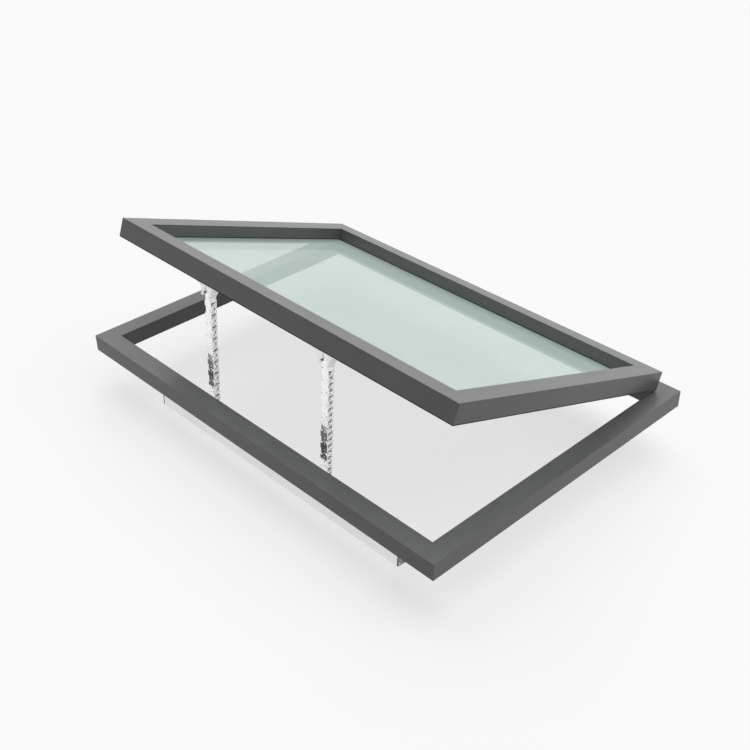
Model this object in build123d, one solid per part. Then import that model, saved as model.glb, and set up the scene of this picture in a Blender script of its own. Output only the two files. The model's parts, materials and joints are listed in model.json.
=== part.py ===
from build123d import *
import math
import os

# Roof skylight, raised open: a rectangular base frame of aluminium tube, and over its opening a
# glazed sash hinged along one long side. Two push chains stand between the other long side and an
# opener that swivels on the inside of the base frame.
#
# Millimetres. +X runs along the hinge side, -Y is the side that opens, +Z is up. The origin is at
# the centre of the base frame's underside, the face that lies on the roof kerb.

# Base frame
frame_length = 1200.0
frame_depth = 856.0
base_rail_width = 47.0
base_rail_height = 43.0
base_rail_wall = 2.0

# Sash frame, which laps over the inner edge of the base frame on a seal
sash_lap = 6.0
seal_gap = 3.0
sash_tube_width = 36.5
sash_height = 45.0
sash_wall = 2.0
glass_shelf = 13.5
opening_angle = 20.1

# Glazing: a laminated pane on a tape, held down by snap-in beads over a wedge gasket
glass_thickness = 8.8
glass_edge_gap = 3.0
tape_thickness = 1.6
glazing_strip_width = 8.0
glazing_strip_inset = 1.5
bead_gasket_height = 2.6
bead_wall = 1.5
bead_seam = 0.2
bead_foot = 9.0
bead_line_below_top = 17.6
bead_line_height = 1.0
bead_line_stand = 0.5
setting_block_length = 50.0
setting_block_from_end = 209.0
seal_width = 5.0
seal_inset = 0.5
seal_clearance = 0.3

# Corner cleats inside the tubes, and threaded inserts in the base frame's underside
cleat_arm = 60.0
cleat_play = 0.4
insert_radius = 5.0
insert_bore = 2.5
insert_length = 14.0
insert_from_end = 120.0

# Butt hinges
hinge_from_end = 220.0
hinge_length = 90.0
hinge_knuckle_radius = 5.5
hinge_axis_stand = 5.9
hinge_leaf_thickness = 2.5
hinge_leaf_reach = 30.0
hinge_centre_knuckle = 30.0
hinge_knuckle_gap = 0.5
hinge_pin_radius = 3.0
hinge_pin_play = 0.05
hinge_pin_head = 2.0
hinge_pin_head_radius = 4.5
hinge_notch = 1.0
hinge_screw_spacing = 56.0

# Screws, all of one kind
screw_radius = 2.4
screw_head_radius = 4.2
screw_head = 2.2
screw_length = 10.0
screw_sides = 5

# Sides of small round forms
hexagon_sides = 6
hole_sides = 10
boss_sides = 14

# Push chain: five-eighths pitch, rollers open towards the sprocket, square shoulders on its back
chain_pitch = 15.875
chain_roller_radius = 5.08
chain_inner_width = 9.7
chain_plate = 2.2
chain_plate_end = 7.5
chain_back = 14.0
chain_shoulder_gap = 0.15
chain_shoulder = 5.0
chain_end_facets = 3
chain_spacing = 406.0
chain_middle = -11.0
chain_end_least = 18.0
stored_links = 2

# Sprocket on a shaft of its own
sprocket_teeth = 7
sprocket_tip_cut = 2.5
sprocket_tooth_tip = 3.0
sprocket_seat_sides = 8
sprocket_seat_play = 0.45
sprocket_cut_past_tip = 1.0
sprocket_side_play = 0.5
shaft_radius = 5.0
shaft_play = 0.05

# Opener: an extruded housing that swivels between two brackets on the front rail's inner face
opener_before_chain = 191.0
opener_above_axis = 37.0
opener_wall = 2.0
opener_corner = 3.0
opener_axis_behind_rail = 37.5
opener_axis_below_frame = 69.0
opener_slot_play = 2.0
end_cap_thickness = 4.0
end_cap_spigot = 6.0
end_cap_fit = 0.1
lid_thickness = 1.5
lid_lip = 5.0
guide_play = 0.5
guide_wall = 3.0
guide_band = 2.4
guide_reach = 24.0
guide_facets = 4
guide_floor_play = 0.306
gearcase_width = 7.8
gearcase_play = 0.2
gearcase_wall_play = 0.45
motor_radius = 15.0
motor_length = 74.0
gland_nut_radius = 8.0
gland_dome_radius = 6.0
gland_bore = 3.2
gland_length = 11.0
gland_above_foot = 13.0
shaft_end_gap = 2.0

# Inside the opener: a gear case beside the sprocket, a gear block, its motor and the circuit board
gearcase_reach = 14.0
gearcase_rise = 24.0
gearcase_wall = 1.5
gear_block_length = 30.0
gear_block_half_width = 16.0
gear_block_foot = 9.0
motor_aside = 1.0
motor_above_foot = 18.0
board_length = 70.0
board_height = 44.0
board_thickness = 1.6
board_end_gap = 2.0
board_motor_gap = 23.506
terminal_width = 14.0
terminal_height = 28.0
terminal_depth = 10.0
terminal_inset = 4.0
terminal_below_roof = 8.0
capacitor_radius = 6.0
capacitor_height = 14.0
capacitor_below_roof = 18.0
capacitor_insets = (34.0, 52.0)

# Swivel brackets of the opener
bracket_plate = 3.0
bracket_gap = 1.0
bracket_flange = 34.0
bracket_eye_radius = 12.0
bracket_top_below_rail_top = 6.0
bracket_flange_height = 30.0
bracket_arm_top = 9.0
bracket_screw_insets = (10.0, 27.0)
swivel_pin_radius = 4.0
swivel_pin_head_radius = 7.0
swivel_pin_head = 3.0
swivel_pin_depth = 9.0
swivel_pin_end_gap = 1.0

# Brackets under the sash's front rail that hold the chains' ends
chain_pin_inset = 23.0
chain_pin_drop = 14.0
chain_pin_radius = 4.0
head_bracket_plate = 4.0
head_bracket_top = 58.0
head_bracket_bottom = 32.0
head_bracket_depth = 20.0
head_bracket_fork = 12.4
head_bracket_plate_depth = 32.0
head_bracket_screw_spacing = 44.0
chain_eye_width = 12.0
chain_eye_radius = 8.0
chain_neck_drop = 4.0

# Worked out from the sizes above
frame_half = (frame_length / 2, frame_depth / 2)
sash_half = tuple(half - base_rail_width + sash_lap for half in frame_half)
sash_bottom = base_rail_height + seal_gap
sash_top = sash_bottom + sash_height
sash_inner = sash_tube_width + glass_shelf
tape_bottom = sash_bottom + sash_wall
glass_bottom = tape_bottom + tape_thickness
glass_top = glass_bottom + glass_thickness
bead_bottom = glass_top + bead_gasket_height
hinge_y = sash_half[1] + hinge_axis_stand
hinge_z = base_rail_height + hinge_axis_stand
rail_inner_y = frame_half[1] - base_rail_width
opener_y = -rail_inner_y + opener_axis_behind_rail
opener_z = -opener_axis_below_frame
inner_plate = (chain_inner_width / 2, chain_inner_width / 2 + chain_plate)
outer_plate = (inner_plate[1], inner_plate[1] + chain_plate)
chain_half_width = outer_plate[1]
sprocket_radius = chain_pitch / (2 * math.sin(math.pi / sprocket_teeth))
chain_lines = {
    "left": chain_middle - chain_spacing / 2,
    "right": chain_middle + chain_spacing / 2,
}
hinge_x = frame_half[0] - hinge_from_end
insert_x = frame_half[0] - insert_from_end
setting_block_x = sash_half[0] - setting_block_from_end
hinge_axis = Axis((0, hinge_y, hinge_z), (-1, 0, 0))
swivel_axis = Axis((0, opener_y, opener_z), (-1, 0, 0))

# The opener's housing, made to hold the chain's guide, the gear case, the motor and the board
guide_half_width = chain_half_width + guide_play + guide_wall
guide_inner_radius = sprocket_radius + chain_back + guide_play
guide_outer_radius = guide_inner_radius + guide_band
opener_half_width = guide_half_width + gearcase_width + gearcase_wall_play + opener_wall
opener_walls_y = (opener_y - opener_half_width, opener_y + opener_half_width)
opener_foot = opener_z - guide_outer_radius - guide_floor_play - lid_thickness
opener_top = opener_z + opener_above_axis
opener_roof = opener_top - opener_wall
gear_block_reach = guide_reach + gearcase_play
motor_end = chain_lines["right"] + sprocket_radius + gear_block_reach + gear_block_length + motor_length
board_end = motor_end + board_motor_gap + board_length
opener_ends = (chain_lines["left"] - opener_before_chain, board_end + board_end_gap + end_cap_spigot)
gland_place = (opener_y, opener_foot + gland_above_foot)


def turned(point, centre, degrees):
    """Place of a (y, z) point after a turn that lifts the front about a centre along X."""
    turn = math.radians(degrees)
    along, up = point[0] - centre[0], point[1] - centre[1]
    return (
        centre[0] + along * math.cos(turn) + up * math.sin(turn),
        centre[1] - along * math.sin(turn) + up * math.cos(turn),
    )


# The chain's head pin, shut and open, and from it the chain's lean and length
pin_shut = (-sash_half[1] + chain_pin_inset, sash_bottom - chain_pin_drop)
pin_open = turned(pin_shut, (hinge_y, hinge_z), opening_angle)
lean_open = math.degrees(math.atan2(pin_open[0] - opener_y, pin_open[1] - opener_z))
lean_shut = math.degrees(math.atan2(pin_shut[0] - opener_y, pin_shut[1] - opener_z))
chain_open = math.hypot(pin_open[0] - opener_y, pin_open[1] - opener_z)
chain_shut = math.hypot(pin_shut[0] - opener_y, pin_shut[1] - opener_z)
rising_links = int((chain_open - chain_end_least) // chain_pitch)
chain_end_length = chain_open - rising_links * chain_pitch
sprocket_reach = sprocket_radius + chain_roller_radius
head_links = int((chain_shut - sprocket_reach - chain_end_length) // chain_pitch)
chain_head_z = opener_z + chain_open


def section_plane(axis, low, high):
    """Plane across an axis, in which a section is drawn as (y, z), (x, z) or (x, y)."""
    if axis == "x":
        return Plane(origin=(low, 0, 0), x_dir=(0, 1, 0), z_dir=(1, 0, 0))
    if axis == "y":
        return Plane(origin=(0, high, 0), x_dir=(1, 0, 0), z_dir=(0, -1, 0))
    return Plane(origin=(0, 0, low), x_dir=(1, 0, 0), z_dir=(0, 0, 1))


def bar(axis, section, low, high):
    """Straight bar of one section, from low to high along an axis."""
    plane = section_plane(axis, low, high)
    return extrude(plane * section, amount=high - low, dir=plane.z_dir)


def outline(*points):
    """Face inside a closed run of straight edges."""
    return make_face(Polyline(*points, close=True))


def block(x, y, z):
    """Box between two limits along each axis."""
    return bar("z", outline((x[0], y[0]), (x[1], y[0]), (x[1], y[1]), (x[0], y[1])), *z)


def rod(axis, centre, radius, low, high):
    """Round bar along an axis."""
    return bar(axis, Pos(*centre) * Circle(radius), low, high)


def facet_rod(axis, centre, radius, low, high, sides):
    """Bar with a few flat sides, for small repeated pieces."""
    return bar(axis, Pos(*centre) * RegularPolygon(radius, sides), low, high)


def facet_hole(axis, centre, radius, low, high):
    """Hole with a few flat sides, which a round bar of the radius just fits."""
    return bar(axis, Pos(*centre) * RegularPolygon(radius, hole_sides, major_radius=False), low, high)


def mitred(side, half, depth, height):
    """One side of a mitred frame: depth is measured inwards from its outer face."""
    turn = {"front": 0, "right": 90, "back": 180, "left": 270}[side]
    along, across = half if side in ("front", "back") else half[::-1]
    outer, inner = depth
    face = outline(
        (outer - along, outer - across),
        (along - outer, outer - across),
        (along - inner, inner - across),
        (inner - along, inner - across),
    )
    return Rot(0, 0, turn) * bar("z", face, *height)


def ring(half, depth, height):
    """Rectangular ring between two depths inside a frame's outer face."""
    outer, inner = [
        block((inset - half[0], half[0] - inset), (inset - half[1], half[1] - inset), height)
        for inset in depth
    ]
    return outer - inner


def mirrored_x(shape):
    """Copy of a shape on the other side of the YZ plane."""
    return mirror(shape, about=Plane.YZ)


def save(name, *solids):
    """Write one node, of one solid or of a group of like solids."""
    shape = solids[0] if len(solids) == 1 else Compound(children=list(solids))
    export_step(shape, f"parts/{name}.step")


def screw(axis, centre, face, inwards):
    """Flat-headed screw whose head lies on a face and whose shank goes inwards (+1 or -1)."""
    head = sorted((face, face - inwards * screw_head))
    shank = sorted((face - inwards * screw_head, face + inwards * screw_length))
    return facet_rod(axis, centre, screw_head_radius, *head, screw_sides) + facet_rod(
        axis, centre, screw_radius, *shank, screw_sides
    )


def screw_hole(axis, centre, low, high):
    """Hole that a screw's shank fills."""
    return facet_rod(axis, centre, screw_radius, low, high, screw_sides)


# Places of the screws, by the face that each goes into
def hinge_screw_places():
    """X of each hinge screw."""
    return [
        middle + offset
        for middle in (-hinge_x, hinge_x)
        for offset in (-hinge_screw_spacing / 2, hinge_screw_spacing / 2)
    ]


base_leaf_screw_y = hinge_y + hinge_leaf_reach - 2 * screw_head_radius
sash_leaf_screw_z = hinge_z + hinge_leaf_reach - 2 * screw_head_radius
bracket_screw_z = base_rail_height - bracket_top_below_rail_top - bracket_flange_height / 2


def bracket_screw_places():
    """X of each screw through the opener's two brackets."""
    places = []
    for end, outwards in zip(opener_ends, (-1, 1)):
        start = end + outwards * (end_cap_thickness + bracket_gap + bracket_plate)
        for inset in bracket_screw_insets:
            places.append(start + outwards * inset)
    return places


def head_screw_places():
    """X of each screw through the chain brackets under the sash."""
    return [
        visible_chain_middle(line) + side * head_bracket_screw_spacing / 2
        for line in chain_lines.values()
        for side in (-1, 1)
    ]


def visible_chain_middle(line):
    """Middle of the chain's depth, whose back is deeper than its open side."""
    return line + (chain_plate_end - chain_back) / 2


def base_frame():
    """Four tubes mitred at the corners, with the holes for what is screwed to them."""
    wall = base_rail_wall
    top = base_rail_height
    rails = {}
    for side in ("front", "back", "left", "right"):
        tube = mitred(side, frame_half, (0, base_rail_width), (0, top))
        tube -= mitred(side, frame_half, (wall, base_rail_width - wall), (wall, top - wall))
        rails[side] = tube
    insert_y = frame_half[1] - base_rail_width / 2
    for side, y in (("front", -insert_y), ("back", insert_y)):
        for x in (-insert_x, insert_x):
            rails[side] -= facet_rod("z", (x, y), insert_radius, 0, wall, hexagon_sides)
    for x in hinge_screw_places():
        rails["back"] -= screw_hole("z", (x, base_leaf_screw_y), top - wall, top)
    for x in bracket_screw_places():
        rails["front"] -= screw_hole("y", (x, bracket_screw_z), -rail_inner_y - wall, -rail_inner_y)
    return rails


def corner_cleats(half, depth, height):
    """Four L-shaped cleats that lie in the tubes' corners."""
    corner = (half[0] - depth[0], half[1] - depth[0])
    width = depth[1] - depth[0]
    face = outline(
        corner,
        (corner[0] - cleat_arm, corner[1]),
        (corner[0] - cleat_arm, corner[1] - width),
        (corner[0] - width, corner[1] - width),
        (corner[0] - width, corner[1] - cleat_arm),
        (corner[0], corner[1] - cleat_arm),
    )
    cleat = bar("z", face, *height)
    pair = [cleat, mirrored_x(cleat)]
    return pair + [mirror(one, about=Plane.XZ) for one in pair]


def fixing_inserts():
    """Six-sided threaded inserts in the underside, into which bolts come up through the kerb."""
    y = frame_half[1] - base_rail_width / 2
    inserts = []
    for x in (-insert_x, insert_x):
        for side in (-1, 1):
            place = (x, side * y)
            body = facet_rod("z", place, insert_radius, 0, insert_length, hexagon_sides)
            inserts.append(body - rod("z", place, insert_bore, 0, insert_length))
    return inserts


def hinge(x):
    """Base leaf, sash leaf (drawn shut) and pin of one butt hinge."""
    half = hinge_length / 2
    centre = hinge_centre_knuckle / 2
    axis = (hinge_y, hinge_z)
    bore = facet_hole("x", axis, hinge_pin_radius + hinge_pin_play, x - half, x + half)
    notch = hinge_knuckle_radius + hinge_notch
    base = block(
        (x - half, x + half),
        (hinge_y, hinge_y + hinge_leaf_reach),
        (base_rail_height, base_rail_height + hinge_leaf_thickness),
    )
    gap_start = centre + hinge_knuckle_gap
    base -= block((x - gap_start, x + gap_start), (hinge_y, hinge_y + notch), (base_rail_height, hinge_z))
    for side in (-1, 1):
        ends = sorted((x + side * gap_start, x + side * half))
        base += facet_rod("x", axis, hinge_knuckle_radius, *ends, boss_sides)
    sash = block(
        (x - half, x + half),
        (sash_half[1], sash_half[1] + hinge_leaf_thickness),
        (hinge_z, hinge_z + hinge_leaf_reach),
    )
    for side in (-1, 1):
        ends = sorted((x + side * centre, x + side * half))
        sash -= block(ends, (sash_half[1], hinge_y), (hinge_z, hinge_z + notch))
    sash += facet_rod("x", axis, hinge_knuckle_radius, x - centre, x + centre, boss_sides)
    for offset in (-hinge_screw_spacing / 2, hinge_screw_spacing / 2):
        base -= screw_hole(
            "z", (x + offset, base_leaf_screw_y), base_rail_height, base_rail_height + hinge_leaf_thickness
        )
        sash -= screw_hole(
            "y", (x + offset, sash_leaf_screw_z), sash_half[1], sash_half[1] + hinge_leaf_thickness
        )
    pin = facet_rod("x", axis, hinge_pin_radius, x - half, x + half, boss_sides)
    pin += facet_rod("x", axis, hinge_pin_head_radius, x + half, x + half + hinge_pin_head, hole_sides)
    return base - bore, sash - bore, pin


def opening(shape):
    """Lift a piece of the sash, drawn shut, to the angle at which the skylight stands open."""
    return shape.rotate(hinge_axis, opening_angle)


def leaning(shape):
    """Lean a piece of the opener or a chain, drawn upright, to where it stands open."""
    return shape.rotate(swivel_axis, lean_open)


def sash_rail(side):
    """Tube with a shelf along its foot for the glass."""
    wall = sash_wall
    rail = mitred(side, sash_half, (0, sash_tube_width), (sash_bottom, sash_top))
    rail -= mitred(side, sash_half, (wall, sash_tube_width - wall), (sash_bottom + wall, sash_top - wall))
    rail += mitred(side, sash_half, (sash_tube_width, sash_inner), (sash_bottom, sash_bottom + wall))
    if side == "front":
        for x in head_screw_places():
            rail -= screw_hole("z", (x, pin_shut[0]), sash_bottom, sash_bottom + wall)
    if side == "back":
        for x in hinge_screw_places():
            rail -= screw_hole("y", (x, sash_leaf_screw_z), sash_half[1] - wall, sash_half[1])
    return rail


def glazing_bead(side):
    """Snap-in bead: a channel that is open towards the tube, with a fine line along its face."""
    outer = sash_tube_width + bead_seam
    inner = sash_inner - bead_seam
    wall = bead_wall
    bead = mitred(side, sash_half, (outer, inner), (sash_top - wall, sash_top))
    bead += mitred(side, sash_half, (inner - wall, inner), (bead_bottom, sash_top))
    bead += mitred(side, sash_half, (inner - bead_foot, inner), (bead_bottom, bead_bottom + wall))
    line = sash_top - bead_line_below_top
    bead += mitred(side, sash_half, (inner, inner + bead_line_stand), (line - bead_line_height, line))
    leg = sash_top - wall - sash_wall
    bead += mitred(side, sash_half, (sash_tube_width, outer + wall), (leg - wall, leg))
    bead += mitred(side, sash_half, (outer, outer + wall), (leg - wall, sash_top))
    return bead


def glass_pane():
    """Laminated pane, resting on the tape all round."""
    edge = sash_tube_width + glass_edge_gap
    x, y = sash_half[0] - edge, sash_half[1] - edge
    return block((-x, x), (-y, y), (glass_bottom, glass_top))


def setting_blocks():
    """Blocks between the pane's edge and the tubes of the long sides."""
    near, far = sash_half[1] - sash_tube_width - glass_edge_gap, sash_half[1] - sash_tube_width
    blocks = []
    for middle in (-setting_block_x, setting_block_x):
        x = (middle - setting_block_length / 2, middle + setting_block_length / 2)
        blocks.append(block(x, (near, far), (tape_bottom, glass_top)))
        blocks.append(block(x, (-far, -near), (tape_bottom, glass_top)))
    return blocks


def link_plate(across):
    """Plate of a link between two pins: few-sided round ends, and a square shoulder on its back."""
    step = math.pi / chain_end_facets
    near, far = chain_shoulder_gap, chain_pitch - chain_shoulder_gap
    points = [(near, -chain_back), (far, -chain_back), (far, -chain_plate_end)]
    for count in range(1, chain_end_facets + 1):
        turn = -math.pi / 2 + count * step
        points.append((chain_pitch + chain_plate_end * math.cos(turn), chain_plate_end * math.sin(turn)))
    for count in range(chain_end_facets):
        turn = math.pi / 2 + count * step
        points.append((chain_plate_end * math.cos(turn), chain_plate_end * math.sin(turn)))
    points.append((near, -chain_plate_end))
    return bar("z", outline(*points), *across)


def link(wide):
    """One link from a pin at the origin to the next along X; its back is at -Y, its pins along Z.

    A wide link's plates bear on the outside of its neighbours' plates, where the pins are riveted
    over flush, and a shoulder across its back joins them. A narrow link's plates are joined by the
    roller on each of its pins.
    """
    low, high = outer_plate if wide else inner_plate
    one = link_plate((low, high)) + link_plate((-high, -low))
    if wide:
        shoulder = outline(
            (chain_shoulder_gap, -chain_back),
            (chain_pitch - chain_shoulder_gap, -chain_back),
            (chain_pitch - chain_shoulder_gap, -chain_back + chain_shoulder),
            (chain_shoulder_gap, -chain_back + chain_shoulder),
        )
        return one + bar("z", shoulder, -high, high)
    for x in (0, chain_pitch):
        one += facet_rod("z", (x, 0), chain_roller_radius, -low, low, hexagon_sides)
    return one


def links(points, first):
    """Links along a run of pins, wide and narrow in turn; odd ones are wide."""
    placed = []
    for count, (start, end) in enumerate(zip(points, points[1:])):
        along = (end[0] - start[0], 0, end[1] - start[1])
        place = Plane(origin=(start[0], opener_y, start[1]), x_dir=along, z_dir=(0, -1, 0))
        placed.append(place.location * link(wide=(first + count) % 2 == 1))
    return placed


def rising_pins(line):
    """Pins of the straight chain, from its end fitting down to the sprocket."""
    top = chain_head_z - chain_end_length
    return [(line, top - count * chain_pitch) for count in range(rising_links + 1)]


def stored_pins(line):
    """Pins round the sprocket and along the housing's floor."""
    centre = (line + sprocket_radius, opener_z)
    turn = math.pi + 2 * math.pi / sprocket_teeth
    seated = (centre[0] + sprocket_radius * math.cos(turn), centre[1] + sprocket_radius * math.sin(turn))
    floor = centre[1] - sprocket_radius
    first = seated[0] + math.sqrt(chain_pitch**2 - (seated[1] - floor) ** 2)
    pins = [(line, opener_z), seated]
    return pins + [(first + count * chain_pitch, floor) for count in range(stored_links - 1)]


def chain_end(line):
    """Forged end of the chain: an eye on the head pin, and a tongue between the first plates."""
    middle = visible_chain_middle(line)
    pin = (opener_y, chain_head_z)
    eye = (middle - chain_eye_width / 2, middle + chain_eye_width / 2)
    half = inner_plate[1]
    neck = chain_head_z - chain_eye_radius - chain_neck_drop
    shoulder = neck - chain_neck_drop / 2
    first_pin = chain_head_z - chain_end_length
    points = [
        (line + chain_plate_end, shoulder),
        (eye[1], neck),
        (eye[0], neck),
        (line - chain_back, shoulder),
        (line - chain_back, first_pin + chain_shoulder_gap),
        (line - chain_plate_end, first_pin + chain_shoulder_gap),
    ]
    for count in range(chain_end_facets + 1):
        turn = math.pi + count * math.pi / chain_end_facets
        x, z = chain_plate_end * math.cos(turn), chain_plate_end * math.sin(turn)
        points.append((line + x, first_pin + z))
    fitting = facet_rod("x", pin, chain_eye_radius, *eye, boss_sides)
    fitting += block(eye, (opener_y - half, opener_y + half), (neck, chain_head_z))
    fitting += bar("y", outline(*points), opener_y - half, opener_y + half)
    return fitting - facet_hole("x", pin, chain_pin_radius + hinge_pin_play, *eye)


def head_bracket(line):
    """Cast fork under the sash: a plate on the rail, and lugs that taper down to the head pin."""
    middle = visible_chain_middle(line)
    y, z = pin_shut
    top = (middle - head_bracket_top / 2, middle + head_bracket_top / 2)
    plate_y = (y - head_bracket_plate_depth / 2, y + head_bracket_plate_depth / 2)
    plate_z = (sash_bottom - head_bracket_plate, sash_bottom)
    foot = z - chain_eye_radius
    lugs = outline(
        (top[0], plate_z[0]),
        (top[1], plate_z[0]),
        (middle + head_bracket_bottom / 2, foot),
        (middle - head_bracket_bottom / 2, foot),
    )
    fork = block(top, plate_y, plate_z)
    fork += bar("y", lugs, y - head_bracket_depth / 2, y + head_bracket_depth / 2)
    slot = (middle - head_bracket_fork / 2, middle + head_bracket_fork / 2)
    fork -= block(slot, plate_y, (foot, plate_z[0]))
    fork -= facet_hole("x", pin_shut, chain_pin_radius, *top)
    for side in (-1, 1):
        place = (middle + side * head_bracket_screw_spacing / 2, y)
        fork -= screw_hole("z", place, foot, sash_bottom)
        fork -= facet_rod("z", place, screw_head_radius + cleat_play, foot, plate_z[0], screw_sides)
    return fork


def head_pin(line):
    """Pin through the fork's lugs and the chain's eye, cut flush with the lugs."""
    middle = visible_chain_middle(line)
    taper = (head_bracket_top - head_bracket_bottom) / 2
    slope = taper / (chain_pin_drop - head_bracket_plate + chain_eye_radius)
    half = head_bracket_bottom / 2 + slope * (chain_eye_radius - chain_pin_radius)
    return facet_rod("x", pin_shut, chain_pin_radius, middle - half, middle + half, boss_sides)


def head_screws():
    """Screws that hold the chain brackets to the sash's front rail."""
    plate = sash_bottom - head_bracket_plate
    return [screw("z", (x, pin_shut[0]), plate, 1) for x in head_screw_places()]


def opener_housing():
    """Extruded channel, open at its foot, with a slot in its top for each chain."""
    y = opener_walls_y
    shell = block(opener_ends, y, (opener_foot, opener_top))
    shell = fillet(shell.edges().filter_by(Axis.X).group_by(Axis.Z)[-1], opener_corner)
    shell -= block(opener_ends, (y[0] + opener_wall, y[1] - opener_wall), (opener_foot, opener_roof))
    slot_y = chain_half_width + opener_slot_play
    for line in chain_lines.values():
        slot_x = (line - chain_back - opener_slot_play, line + chain_plate_end + opener_slot_play)
        shell -= block(slot_x, (opener_y - slot_y, opener_y + slot_y), (opener_roof, opener_top))
    return shell


def opener_lid():
    """Cover that closes the housing's foot, with a lip inside each wall."""
    half = opener_half_width - opener_wall
    foot = opener_foot
    lid = block(opener_ends, (opener_y - half, opener_y + half), (foot, foot + lid_thickness))
    for side in (-1, 1):
        lip = sorted((opener_y + side * half, opener_y + side * (half - lid_thickness)))
        lid += block(opener_ends, lip, (foot, foot + lid_lip))
    return lid


def opener_end_cap(end, outwards):
    """Moulded cap with a spigot inside the housing and a blind bore for the swivel pin."""
    y = opener_walls_y
    z = (opener_foot, opener_top)
    cap = block(sorted((end, end + outwards * end_cap_thickness)), y, z)
    cap = fillet(cap.edges().filter_by(Axis.X).group_by(Axis.Z)[-1], opener_corner)
    inset = opener_wall + end_cap_fit
    spigot_x = sorted((end, end - outwards * end_cap_spigot))
    spigot_y = (y[0] + inset + lid_thickness, y[1] - inset - lid_thickness)
    cap += block(spigot_x, spigot_y, (z[0] + lid_lip, z[1] - inset))
    face = end + outwards * end_cap_thickness
    bore = sorted((face, face - outwards * swivel_pin_depth))
    cap -= facet_hole("x", (opener_y, opener_z), swivel_pin_radius + hinge_pin_play, *bore)
    if outwards > 0:
        cap -= facet_hole("x", gland_place, gland_bore, end - end_cap_spigot, end + end_cap_thickness)
    return cap


def swivel_pin(end, outwards):
    """Headed pin through a bracket into the end cap's bore."""
    plate = end + outwards * (end_cap_thickness + bracket_gap + bracket_plate)
    bore_end = end + outwards * (end_cap_thickness - swivel_pin_depth)
    shank = sorted((plate, bore_end + outwards * swivel_pin_end_gap))
    head = sorted((plate, plate + outwards * swivel_pin_head))
    axis = (opener_y, opener_z)
    pin = facet_rod("x", axis, swivel_pin_radius, *shank, boss_sides)
    return pin + facet_rod("x", axis, swivel_pin_head_radius, *head, hexagon_sides)


def opener_bracket(end, outwards):
    """Bent plate: a flange screwed to the front rail, and an arm that carries the swivel pin."""
    inner = end + outwards * (end_cap_thickness + bracket_gap)
    arm_x = sorted((inner, inner + outwards * bracket_plate))
    flange_x = sorted((inner, inner + outwards * (bracket_plate + bracket_flange)))
    face = -rail_inner_y
    top = base_rail_height - bracket_top_below_rail_top
    foot = top - bracket_flange_height
    eye_low = opener_z - bracket_eye_radius
    arm = outline(
        (face, top),
        (face + bracket_arm_top, top),
        (opener_y + bracket_eye_radius, opener_z + bracket_eye_radius),
        (opener_y + bracket_eye_radius, opener_z),
        (opener_y, eye_low),
        (opener_y - bracket_eye_radius, opener_z),
        (face, foot),
    )
    bent = bar("x", arm, *arm_x)
    bent += facet_rod("x", (opener_y, opener_z), bracket_eye_radius, *arm_x, boss_sides)
    bent += block(flange_x, (face, face + bracket_plate), (foot, top))
    bent -= facet_hole("x", (opener_y, opener_z), swivel_pin_radius, *arm_x)
    for x in bracket_screw_places():
        if flange_x[0] < x < flange_x[1]:
            bent -= screw_hole("y", (x, bracket_screw_z), face, face + bracket_plate)
    return bent


def bracket_screws():
    """Screws through the opener's brackets into the front rail."""
    face = -rail_inner_y + bracket_plate
    return [screw("y", (x, bracket_screw_z), face, -1) for x in bracket_screw_places()]


def hinge_screws():
    """Screws through the hinge leaves: those in the base frame, and those in the sash."""
    base_face = base_rail_height + hinge_leaf_thickness
    sash_face = sash_half[1] + hinge_leaf_thickness
    base = [screw("z", (x, base_leaf_screw_y), base_face, -1) for x in hinge_screw_places()]
    sash = [screw("y", (x, sash_leaf_screw_z), sash_face, -1) for x in hinge_screw_places()]
    return base, sash


def turning_outline(centre, radius, reach):
    """Outline of the chain's way: down, a quarter turn under the sprocket, and along the floor."""
    x, z = centre
    high = opener_roof
    points = [(x + reach, z - radius), (x + reach, high), (x - radius, high)]
    for count in range(guide_facets + 1):
        turn = math.pi + count * math.pi / 2 / guide_facets
        points.append((x + radius * math.cos(turn), z + radius * math.sin(turn)))
    return outline(*points)


def chain_guide(line):
    """Cheeks on both sides of a chain, joined by a band that its shoulders slide along."""
    centre = (line + sprocket_radius, opener_z)
    half = chain_half_width + guide_play
    whole = guide_half_width
    outer = turning_outline(centre, guide_outer_radius, guide_reach)
    inner = turning_outline(centre, guide_inner_radius, guide_reach)
    guide = bar("y", outer, opener_y - whole, opener_y + whole)
    guide -= bar("y", inner, opener_y - half, opener_y + half)
    return guide - facet_hole("y", centre, shaft_radius + shaft_play, opener_y - whole, opener_y + whole)


def sprocket(line):
    """Seven-toothed sprocket, its seats on the pitch circle, turned in one piece with its shaft."""
    centre = (line + sprocket_radius, opener_z)
    tip = sprocket_radius + sprocket_tip_cut
    half_gap = tip * math.pi / sprocket_teeth - sprocket_tooth_tip / 2
    seat_radius = chain_roller_radius + sprocket_seat_play
    wheel = RegularPolygon(tip, 2 * sprocket_teeth)
    for count in range(sprocket_teeth):
        turn = 180 + count * 360 / sprocket_teeth
        gap = outline(
            (sprocket_radius, -seat_radius * math.cos(math.pi / sprocket_seat_sides)),
            (tip, -half_gap),
            (tip + sprocket_cut_past_tip, -half_gap),
            (tip + sprocket_cut_past_tip, half_gap),
            (tip, half_gap),
            (sprocket_radius, seat_radius * math.cos(math.pi / sprocket_seat_sides)),
        )
        seat = Pos(sprocket_radius, 0) * RegularPolygon(seat_radius, sprocket_seat_sides)
        wheel -= Rot(0, 0, turn) * (gap + seat)
    half = chain_inner_width / 2 - sprocket_side_play
    shaft = (opener_y - guide_half_width, opener_y + guide_half_width + gearcase_width - shaft_end_gap)
    body = bar("y", Pos(*centre) * wheel, opener_y - half, opener_y + half)
    return body + facet_rod("y", centre, shaft_radius, *shaft, boss_sides)


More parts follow.
